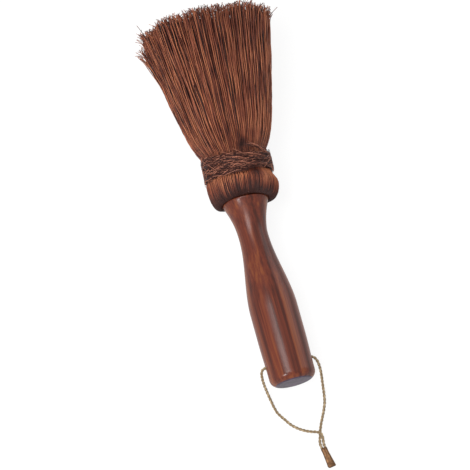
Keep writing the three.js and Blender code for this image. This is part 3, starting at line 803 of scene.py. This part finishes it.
def hank_piece(name, points, faces, node):
    """The pressed fibre of a hank, painted dark as the shade between the single fibres that lie on it."""
    piece = new_piece(name, placed(points, head_place), faces, palm, smooth_to=40)
    write_tone(piece, np.full(len(points), HANK_SHADE))
    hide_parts(node)
    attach(piece, "brush")


def fibre_material(name, patch_mm, stops):
    """A material of dull, faintly waxy fibres, each coloured by its tone from dark to light, in patches."""
    material, tree, output = new_material(name)
    tone = add_node(tree, "Attribute", out="Fac", attribute_name="tone")
    place = add_node(tree, "TexCoord", out="Object")
    patch = add_node(tree, "TexNoise", {"Vector": place, "Scale": 1 / (patch_mm * MM), "Detail": 3})
    mixed = add_node(tree, "Math", {0: patch, 1: FIBRE_PATCH_WEIGHT, 2: tone}, operation="MULTIPLY_ADD")
    colour = add_node(tree, "ValToRGB", {"Fac": mixed}, stops)
    shader = add_node(tree, "BsdfPrincipled", {
        "Base Color": colour, "Roughness": 0.55, "IOR": 1.5, "Specular IOR Level": 0.3,
    })
    tree.links.new(shader, output)
    return material


# Palm fibre, stripped and combed. Stiff dull strands from dark brown to tan, each with its own shade, and a
# faint waxy gloss along them. Their tone also carries painted shade and painted light.
palm = fibre_material(
    "palm fibre, stripped and combed", FIBRE_PATCH_MM,
    [(0.15, FIBRE_DARK), (0.6, FIBRE_BROWN), (1.0, FIBRE_TAN)],
)

inner_wall = outer_folded - FIT_GAP_MM
inner_outline = [
    (inner_folded, spigot_end + FIT_GAP_MM), (inner_folded, inner_pocket_at),
    (inner_outside, inner_pocket_at), (inner_outside, knob_at - FIT_GAP_MM),
    (inner_inside, knob_at - FIT_GAP_MM), (inner_inside, inner_fold_at),
    (inner_wall - FOLD_ROUNDING_MM, inner_fold_at), (inner_wall, inner_fold_at + FOLD_ROUNDING_MM),
    (inner_wall, bound_end),
]
hank_piece("inner_hank", *joined_rings(turned(inner_outline, HANDLE_SEGMENTS)), "inner_fibre_layer")

rng = np.random.default_rng(2)
inner_ring = combed_layers(rng, INNER_LAYERS, (0, inner_wall), INNER_TIPS_MM)
fibre_piece("inner_bristles", *bristles(rng, *inner_ring), palm, "inner_fibre_layer", "palm_fibre")


# Outer fibre hank
# A second hank, tied below the first and folded back over its wire into a fat roll above the handle's
# collar. Its fibres lie side by side over the roll, run up under the binding and stand out above it as the
# outer bristles.

OUTER_LAYERS = 9
OUTER_PIECES = 3
BOUND_RADIUS_MM = 21.5
ROLL_RADIUS_MM = 24.3
LIP_RADIUS_MM = 18.6
GROOVE_DEPTH_MM = 2.2
GROOVE_INSIDE_MM = 0.4
UNDER_GROOVE_MM = 1
QUARTER_STEPS = 8
SHOULDER_STEPS = 6
OUTER_TIPS_MM = (36, TIP_RADIUS_MM)
ROLL_FIBRES = 600
ROLL_FIBRE_MM = 0.52
ROLL_THICKNESS = (0.75, 1.25)
# How unevenly the roll's fibres lie: their spacing in fibres, slant and wander in radians, and height
ROLL_JITTER = 0.6
ROLL_SLANT = 0.015
ROLL_WANDER = 0.004
ROLL_UNEVEN_MM = 0.05
# Every few fibres one lies higher: how deep those lie under the roll's outline, and the rest
ROLL_PROUD_EVERY = 3
ROLL_DEPTHS_MM = (0.1, 0.5)
UNDER_FIBRES_MM = 0.6
# The higher fibres are painted this light, the rest dark as painted shade between them
ROLL_SHADE = 1.3
# The shares of its way over the roll at which a fibre starts to come out of its painted shade, and is out of
# it
SHADED_FROM_GROOVE = (0.37, 0.78)
SHADE_EDGE_SPREAD = 0.07
ROLL_DROOP_MM = 2.4
ROLL_TILT_MM = 3.5
ROLL_ASIDE_MM = 0.7
HELD_BY_BINDING = 0.6
# How much darker the roll's sides are painted, as shade
SHADED_SIDES = 0.5
# Patches of painted shade, two in hollows where fibres part and a broad one on the roll: degrees from the
# top, then place, half width and half height in millimetres, and how dark
PAINTED_SHADE_PATCHES = [(24, 145.6, 6, 4, 1), (12, 165.5, 3.4, 4, 1), (10, 137, 7, 5, 0.6)]
# Loose bristles at the left: how many, their angle from the top in radians, tip radius, trim and flick
WISPS = [(44, -1.6, 43.5, 11, 5), (4, -1.45, 44.5, -4, 6)]
WISP_WIDTH = 0.2
WISP_TRIM_MM = 5
WISP_FLICK = (0.2, 1.2)


def askew(points_mm):
    """Points of the roll as it was tied by hand: higher at the left, and hanging low at both sides."""
    x, at, z = np.moveaxis(points_mm, -1, 0)
    to_right = x / np.hypot(x, z)
    down = np.clip((ROLL_AT_MM - at) / (ROLL_AT_MM - outer_fold_at), 0, 1)
    held = 1 - down - HELD_BY_BINDING * np.clip((at - ROLL_AT_MM) / SHOULDER_MM, 0, 1)
    shift = -ROLL_DROOP_MM * down * to_right**2 - ROLL_TILT_MM * held * to_right
    outside = np.hypot(x, z) > COLLAR_RADIUS_MM - UNDER_FIBRES_MM
    return np.stack([x + ROLL_ASIDE_MM * held * outside, at + shift * outside, z], axis=-1)


def light_left(points_mm):
    """The share of painted light left at points of the head, close to none in a patch of painted shade."""
    x, at, z = np.moveaxis(points_mm, -1, 0)
    share = np.ones(at.shape)
    for angle, place, width, height, dark in PAINTED_SHADE_PATCHES:
        aside = np.hypot(x, z) * (np.arctan2(x, z) - math.radians(angle)) / width
        share = share * (1 - dark * np.exp(-(aside**2) - ((at - place) / height) ** 2))
    return share


# The roll turns out of a groove above the collar, round its lip and up to its fullest line.
quarter = np.linspace(0, math.pi / 2, QUARTER_STEPS)
groove_radius = COLLAR_RADIUS_MM - GROOVE_INSIDE_MM
groove = np.stack([
    groove_radius + (LIP_RADIUS_MM - groove_radius) * (1 - np.cos(quarter[::2])),
    outer_fold_at + GROOVE_DEPTH_MM * (1 - np.sin(quarter[::2])),
], axis=1)
roll_side = np.stack([
    LIP_RADIUS_MM + (ROLL_RADIUS_MM - LIP_RADIUS_MM) * np.sin(quarter),
    outer_fold_at + (ROLL_AT_MM - outer_fold_at) * (1 - np.cos(quarter)),
], axis=1)
shoulder_at = np.linspace(ROLL_AT_MM, bound_from, SHOULDER_STEPS)[1:]
shoulder = eased(ROLL_RADIUS_MM, BOUND_RADIUS_MM, (shoulder_at - ROLL_AT_MM) / SHOULDER_MM)
roll_outline = np.concatenate([groove, roll_side, np.stack([shoulder, shoulder_at], axis=1)])

# The pressed fibre lies a little inside that outline, from halfway down the groove.
under_groove = COLLAR_RADIUS_MM - UNDER_GROOVE_MM
outer_outline = [
    (outer_folded, bound_end), (outer_folded, outer_pocket_at),
    (outer_outside, outer_pocket_at), (outer_outside, wide_seat_end),
    (outer_inside, wide_seat_end), (outer_inside, outer_fold_at),
    (under_groove, outer_fold_at), (under_groove, outer_fold_at + GROOVE_DEPTH_MM),
    *(roll_outline[len(groove) // 2:] - np.array([UNDER_FIBRES_MM, -UNDER_FIBRES_MM])),
    (BOUND_RADIUS_MM - UNDER_FIBRES_MM, bound_end),
]
outer_points, outer_faces = joined_rings(turned(outer_outline, HANDLE_SEGMENTS), closed=True)
hank_piece("outer_hank", askew(outer_points), outer_faces, "outer_fibre_layer")

rng = np.random.default_rng(3)
shade_rng = np.random.default_rng(5)
run = np.linspace(0, 1, len(roll_outline))
spaced = np.arange(ROLL_FIBRES) + rng.uniform(-ROLL_JITTER, ROLL_JITTER, ROLL_FIBRES)
angle = 2 * math.pi * spaced / ROLL_FIBRES
slant = rng.normal(0, ROLL_SLANT, (ROLL_FIBRES, 1)) * run
drift = angle[:, None] + slant + rng.normal(0, ROLL_WANDER, (ROLL_FIBRES, len(run)))
proud = np.arange(ROLL_FIBRES) % ROLL_PROUD_EVERY == 0
sunk = np.where(proud, *ROLL_DEPTHS_MM)[:, None]
roll_radius = roll_outline[:, 0] - sunk + rng.normal(0, ROLL_UNEVEN_MM, (ROLL_FIBRES, len(run)))
roll_paths = round_axis(roll_radius, drift, roll_outline[:, 1])
roll_thick = ROLL_FIBRE_MM / 2 * rng.uniform(*ROLL_THICKNESS, (ROLL_FIBRES, 1)) * np.ones(len(run))
# Painted shade: each fibre is dark down towards the groove and lightens as it comes over the roll.
shade_from, shade_to = SHADED_FROM_GROOVE
past_edge = run - shade_from + shade_rng.normal(0, SHADE_EDGE_SPREAD, (ROLL_FIBRES, 1))
in_open = eased(0, 1, past_edge / (shade_to - shade_from))
# Painted shade: the fibres that lie lower are painted dark between the higher, lighter ones.
roll_tones = np.where(proud, ROLL_SHADE, 0) + rng.normal(0, SHADE_SPREAD / 2, ROLL_FIBRES)
# Painted shade: the roll is darker at its sides.
at_sides = 1 - SHADED_SIDES * np.sin(angle[:, None]) ** 2
# Painted shade: the roll is darker in the shaded patches.
roll_tones = np.clip(roll_tones[:, None] * in_open * at_sides, 0, 1) * light_left(roll_paths)
fibre_piece(
    "roll_fibres", askew(roll_paths), roll_thick, roll_tones, palm, "outer_fibre_layer", "palm_fibre",
)

outer_roots = (inner_wall, BOUND_RADIUS_MM - FIBRE_MM / 2)
outer_ring = combed_layers(rng, OUTER_LAYERS, outer_roots, OUTER_TIPS_MM)
paths, thick, tones = bristles(rng, *outer_ring)
# Painted shade: the bristles are darker in the shaded patches.
tones = tones * light_left(paths)
for number in range(OUTER_PIECES):
    share = slice(number, None, OUTER_PIECES)
    fibre_piece(
        f"outer_bristles_{number + 1}", paths[share], thick[share], tones[share],
        palm, "outer_fibre_layer", "palm_fibre",
    )

wisp_counts, *wisp_values = zip(*WISPS)
wisp_angle, wisp_tip, wisp_trim, wisp_flick = (np.repeat(values, wisp_counts) for values in wisp_values)
wisp_angle = wisp_angle + rng.normal(0, WISP_WIDTH, len(wisp_angle))
wisp_root = np.full(len(wisp_angle), BOUND_RADIUS_MM - FIBRE_MM)
wisp_flick = wisp_flick * rng.uniform(*WISP_FLICK, len(wisp_flick))
wisp_trim = wisp_trim + rng.uniform(0, WISP_TRIM_MM, len(wisp_trim))
wisps = bristles(rng, wisp_angle, wisp_root, wisp_tip, wisp_trim, wisp_flick[:, None])
fibre_piece("loose_wisps", *wisps, palm, "outer_fibre_layer", "palm_fibre")


# Neck binding
# One length of twine, loosely twisted from the same fibre and wound tightly round the folded hanks: turns
# side by side, then some that cross them at a slant, with the end drawn up over the bristles and tucked in.

TWINE_MM = 1.7
TWINE_EDGE_MM = 0.4
TWINE_STRANDS = 11
TWINE_STRAND_MM = 0.42
STRAND_THICKNESS = (0.8, 1.2)
# Neighbouring strands differ in shade: how light the lightest is, and how many shades apart neighbours are
STRAND_SHADE = 0.3
STRAND_SHADE_STEP = 4
TWINE_LAY_MM = 13
TWIST_DRIFT = 1.5
BINDING_START = math.radians(12)
BINDING_TURNS = 6.6
BINDING_PITCH_MM = 1.78
CROSSING_TURNS = 5.4
CROSSING_EASE_TURNS = 1 / 3
CROSSING_RAISED_MM = 0.4
CROSSING_SWING_MM = 4
CROSSING_TILT_MM = 2.2
CROSSING_DRIFT = 0.3
# Wound by hand, it sits lower at the top and the right of the head, and its turns open out at the left.
SKEW_MM = {"all": -1.0, "right": -1.5, "top": -2.2}
OPEN_AT_TOP = 1.07
OPEN_AT_LEFT = 0.22
TUCK_TURNS = 0.2
TUCK_RISE_MM = 1.8
TUCK_DEPTH_MM = 4
TUCK_POWER = 12
TUCK_RAISED_MM = 0.6
STRAND_STEPS_A_TURN = 90
# How the twine wanders: waves to a turn and how far they swing
TWINE_WAVES_MM = [(0.37, 0.3), (1.7, 0.2), (3.3, 0.12)]
FRAYED_FIBRES = 2000
FRAYED_STEPS = 8
FRAYED_MM = 0.38
FRAYED_THICKNESS = (0.6, 1.2)
FRAYED_THINNER_END = 0.5
FRAYED_SLANT_MM = 3
FRAYED_LIFT_MM = 0.5
# Shades of the loose fibres: the share of pale ones, painted pale as glints, how much paler they are, and
# the spread of all
FRAYED_PALE = 0.22
FRAYED_PALE_SHADE = 0.7
FRAYED_SHADE_SPREAD = 0.24
TWINE_PATCH_MM = 3
TWINE_DARK = "#27100c"
TWINE_BROWN = "#55271b"
TWINE_PALE = "#c88268"

# Palm-fibre twine, loosely twisted by hand. Dull dark brown, with a few fibres painted pale as glints.
twine = fibre_material(
    "palm-fibre twine, hand twisted", TWINE_PATCH_MM,
    [(0.12, TWINE_DARK), (0.45, TWINE_BROWN), (1.0, TWINE_PALE)],
)

rng = np.random.default_rng(4)
all_turns = BINDING_TURNS + CROSSING_TURNS
wound = np.linspace(0, all_turns, round(all_turns * STRAND_STEPS_A_TURN))
turn = BINDING_START - 2 * math.pi * wound
crossing = np.clip(wound - BINDING_TURNS, 0, None)
over = eased(0, 1, crossing / CROSSING_EASE_TURNS)
tuck = eased(0, 1, (wound - wound[-1] + TUCK_TURNS) / TUCK_TURNS)
first_turn_at = bound_from + TWINE_EDGE_MM + TWINE_MM / 2
side_by_side = first_turn_at + BINDING_PITCH_MM * np.minimum(wound, BINDING_TURNS)
binding_middle = bound_from + BINDING_MM / 2
swung = CROSSING_SWING_MM * np.cos(2 * math.pi * crossing / CROSSING_TURNS)
tilted = CROSSING_TILT_MM * np.sin(turn) * np.cos(CROSSING_DRIFT * crossing)
slanted = binding_middle + swung + tilted
twine_at = (1 - over) * side_by_side + over * slanted
twine_at = binding_middle + (twine_at - binding_middle) * (OPEN_AT_TOP - OPEN_AT_LEFT * np.sin(turn))
twine_at = twine_at + SKEW_MM["all"] + SKEW_MM["right"] * np.sin(turn) + SKEW_MM["top"] * np.cos(turn)
tucked_at = bound_end + SKEW_MM["all"] + TUCK_RISE_MM
twine_at = twine_at + (tucked_at - twine_at) * tuck
for waves, swing in TWINE_WAVES_MM:
    twine_at = twine_at + swing * np.sin(waves * turn + rng.uniform(0, 2 * math.pi))

# The strands wind unevenly round the twine, which lies on the roll, the hank and the first bristles.
strand_number = np.arange(TWINE_STRANDS)
twist = 2 * math.pi * (BOUND_RADIUS_MM * turn / TWINE_LAY_MM + strand_number[:, None] / TWINE_STRANDS)
for waves, _ in TWINE_WAVES_MM:
    phase = rng.uniform(0, 2 * math.pi, (TWINE_STRANDS, 1))
    twist = twist + TWIST_DRIFT / len(TWINE_WAVES_MM) * np.sin(waves * turn + phase)
strand_from_middle = (TWINE_MM - TWINE_STRAND_MM) / 2
strand_at = twine_at + strand_from_middle * np.sin(twist)
strand_depth = TWINE_MM / 2 + strand_from_middle * np.cos(twist)
roll_tilt = (1 - HELD_BY_BINDING) * ROLL_TILT_MM * np.sin(turn)
up_shoulder = (strand_at + roll_tilt - ROLL_AT_MM) / SHOULDER_MM
shoulder_radius = eased(ROLL_RADIUS_MM, BOUND_RADIUS_MM, up_shoulder)
under_twine = shoulder_radius + (TIP_RADIUS_MM - BOUND_RADIUS_MM) * fan(strand_at - bound_end)
tuck_raised = TUCK_RAISED_MM * tuck - TUCK_DEPTH_MM * tuck**TUCK_POWER
raised = TWINE_EDGE_MM / 2 + CROSSING_RAISED_MM * over + tuck_raised
strand_radius = under_twine + raised + strand_depth
strands = round_axis(strand_radius, turn, strand_at)
strand_thick = TWINE_STRAND_MM / 2 * rng.uniform(*STRAND_THICKNESS, (TWINE_STRANDS, 1)) * np.ones(len(turn))
strand_tones = STRAND_SHADE * (STRAND_SHADE_STEP * strand_number % TWINE_STRANDS) / (TWINE_STRANDS - 1)
# Painted shade: the twine's strands are darker in the shaded patches.
strand_tones = strand_tones[:, None] * light_left(strands)
fibre_piece("twine_binding", strands, strand_thick, strand_tones, twine, "neck_binding", "fibre_twine")

# Fibres that have worked loose lie along the twine and lift off it at one end.
first = rng.integers(0, len(turn) - FRAYED_STEPS, FRAYED_FIBRES)
along = first[:, None] + np.arange(FRAYED_STEPS)
loose = np.linspace(0, 1, FRAYED_STEPS)
slant = rng.normal(0, FRAYED_SLANT_MM, (FRAYED_FIBRES, 1)) * (loose - 0.5)
frayed_at = twine_at[along] + rng.uniform(-TWINE_MM / 2, TWINE_MM / 2, (FRAYED_FIBRES, 1)) + slant
lift = rng.uniform(0, FRAYED_LIFT_MM, (FRAYED_FIBRES, 1)) * (1 + loose**2) / 2
frayed_radius = under_twine[0, along] + raised[along] + TWINE_MM + lift
frayed = round_axis(frayed_radius, turn[along], frayed_at)
frayed_taper = 1 - FRAYED_THINNER_END * loose
frayed_thick = FRAYED_MM / 2 * rng.uniform(*FRAYED_THICKNESS, (FRAYED_FIBRES, 1)) * frayed_taper
# A few loose fibres are painted pale as glints.
pale = rng.uniform(0, 1, FRAYED_FIBRES) < FRAYED_PALE
frayed_tones = FRAYED_PALE_SHADE * pale + rng.uniform(0, FRAYED_SHADE_SPREAD, FRAYED_FIBRES)
# Painted shade: the loose fibres are darker in the shaded patches.
frayed_tones = frayed_tones[:, None] * light_left(frayed)
fibre_piece("frayed_twine", frayed, frayed_thick, frayed_tones, twine, "neck_binding", "fibre_twine")


# Floor and light
# A plain white table in a white studio. A softbox hangs overhead at the left, three lamps deep so that its
# light fades towards its edges. A small lamp stands beside it and a pale card at the right, with even light
# from all round.

FLOOR_HALF_WIDTH_M = 3
FLOOR_DROP_MM = 0.05
FLOOR_WHITE = "#dcdcdc"
FLOOR_GLOW = 0.88
FLOOR_SHADE = "#707070"
ROOM_WHITE = "#ffffff"
ROOM_LIGHT = 0.42
# Each lamp's name, watts, width and length, and place, in metres. All face the brush.
LAMPS = [
    ("softbox middle", 1.6, (0.3, 0.4), Vector((-0.36, -0.16, 1.07))),
    ("softbox", 3, (0.55, 0.5), Vector((-0.361, -0.161, 1.074))),
    ("softbox edge", 3, (0.9, 0.62), Vector((-0.362, -0.162, 1.078))),
    ("small lamp", 5.2, (0.12, 0.2), Vector((-0.65, -0.71, 0.68))),
    ("fill card", 3, (0.8, 0.8), Vector((1.0, 0.35, 0.45))),
]


def in_sight(tree):
    """An output that is 1 for what is seen straight, mirrored or through glass, and 0 for other rays."""
    seen = add_node(tree, "LightPath", out="Is Camera Ray")
    rays = seen.node.outputs
    for way in ("Is Glossy Ray", "Is Transmission Ray"):
        seen = add_node(tree, "Math", {0: seen, 1: rays[way]}, operation="MAXIMUM")
    return seen


# Painted board, matt. White to the camera and in reflections, where only the brush's shadow shades it.
board, tree, output = new_material("painted board, matt")
lit = add_node(tree, "BsdfDiffuse", {"Color": linear(FLOOR_WHITE)})
glow = add_node(tree, "Emission", {"Strength": FLOOR_GLOW})
shade = add_node(tree, "BsdfDiffuse", {"Color": linear(FLOOR_SHADE)})
white = add_node(tree, "AddShader", {0: glow, 1: shade})
either = add_node(tree, "MixShader", {0: in_sight(tree), 1: lit, 2: white})
tree.links.new(either, output)

reach, drop = FLOOR_HALF_WIDTH_M, -FLOOR_DROP_MM * MM
floor = new_piece(
    "floor", [(-reach, -reach, drop), (reach, -reach, drop), (reach, reach, drop), (-reach, reach, drop)],
    [[0, 1, 2, 3]], board,
)

world = bpy.data.worlds.new("white studio")
bpy.context.scene.world = world
world.use_nodes = True
tree = world.node_tree
tree.nodes.clear()
strength = add_node(tree, "MapRange", {"Value": in_sight(tree), "To Min": ROOM_LIGHT, "To Max": 1.0})
room = add_node(tree, "Background", {"Color": linear(ROOM_WHITE), "Strength": strength})
tree.links.new(room, tree.nodes.new("ShaderNodeOutputWorld").inputs["Surface"])

for name, watts, size, place in LAMPS:
    lamp_data = bpy.data.lights.new(name, "AREA")
    lamp_data.shape = "RECTANGLE"
    lamp_data.size, lamp_data.size_y = size
    lamp_data.energy = watts
    lamp = bpy.data.objects.new(name, lamp_data)
    bpy.context.scene.collection.objects.link(lamp)
    lamp.location = place
    lamp.rotation_euler = place.to_track_quat("Z", "Y").to_euler()

bpy.context.scene.view_settings.view_transform = "Standard"
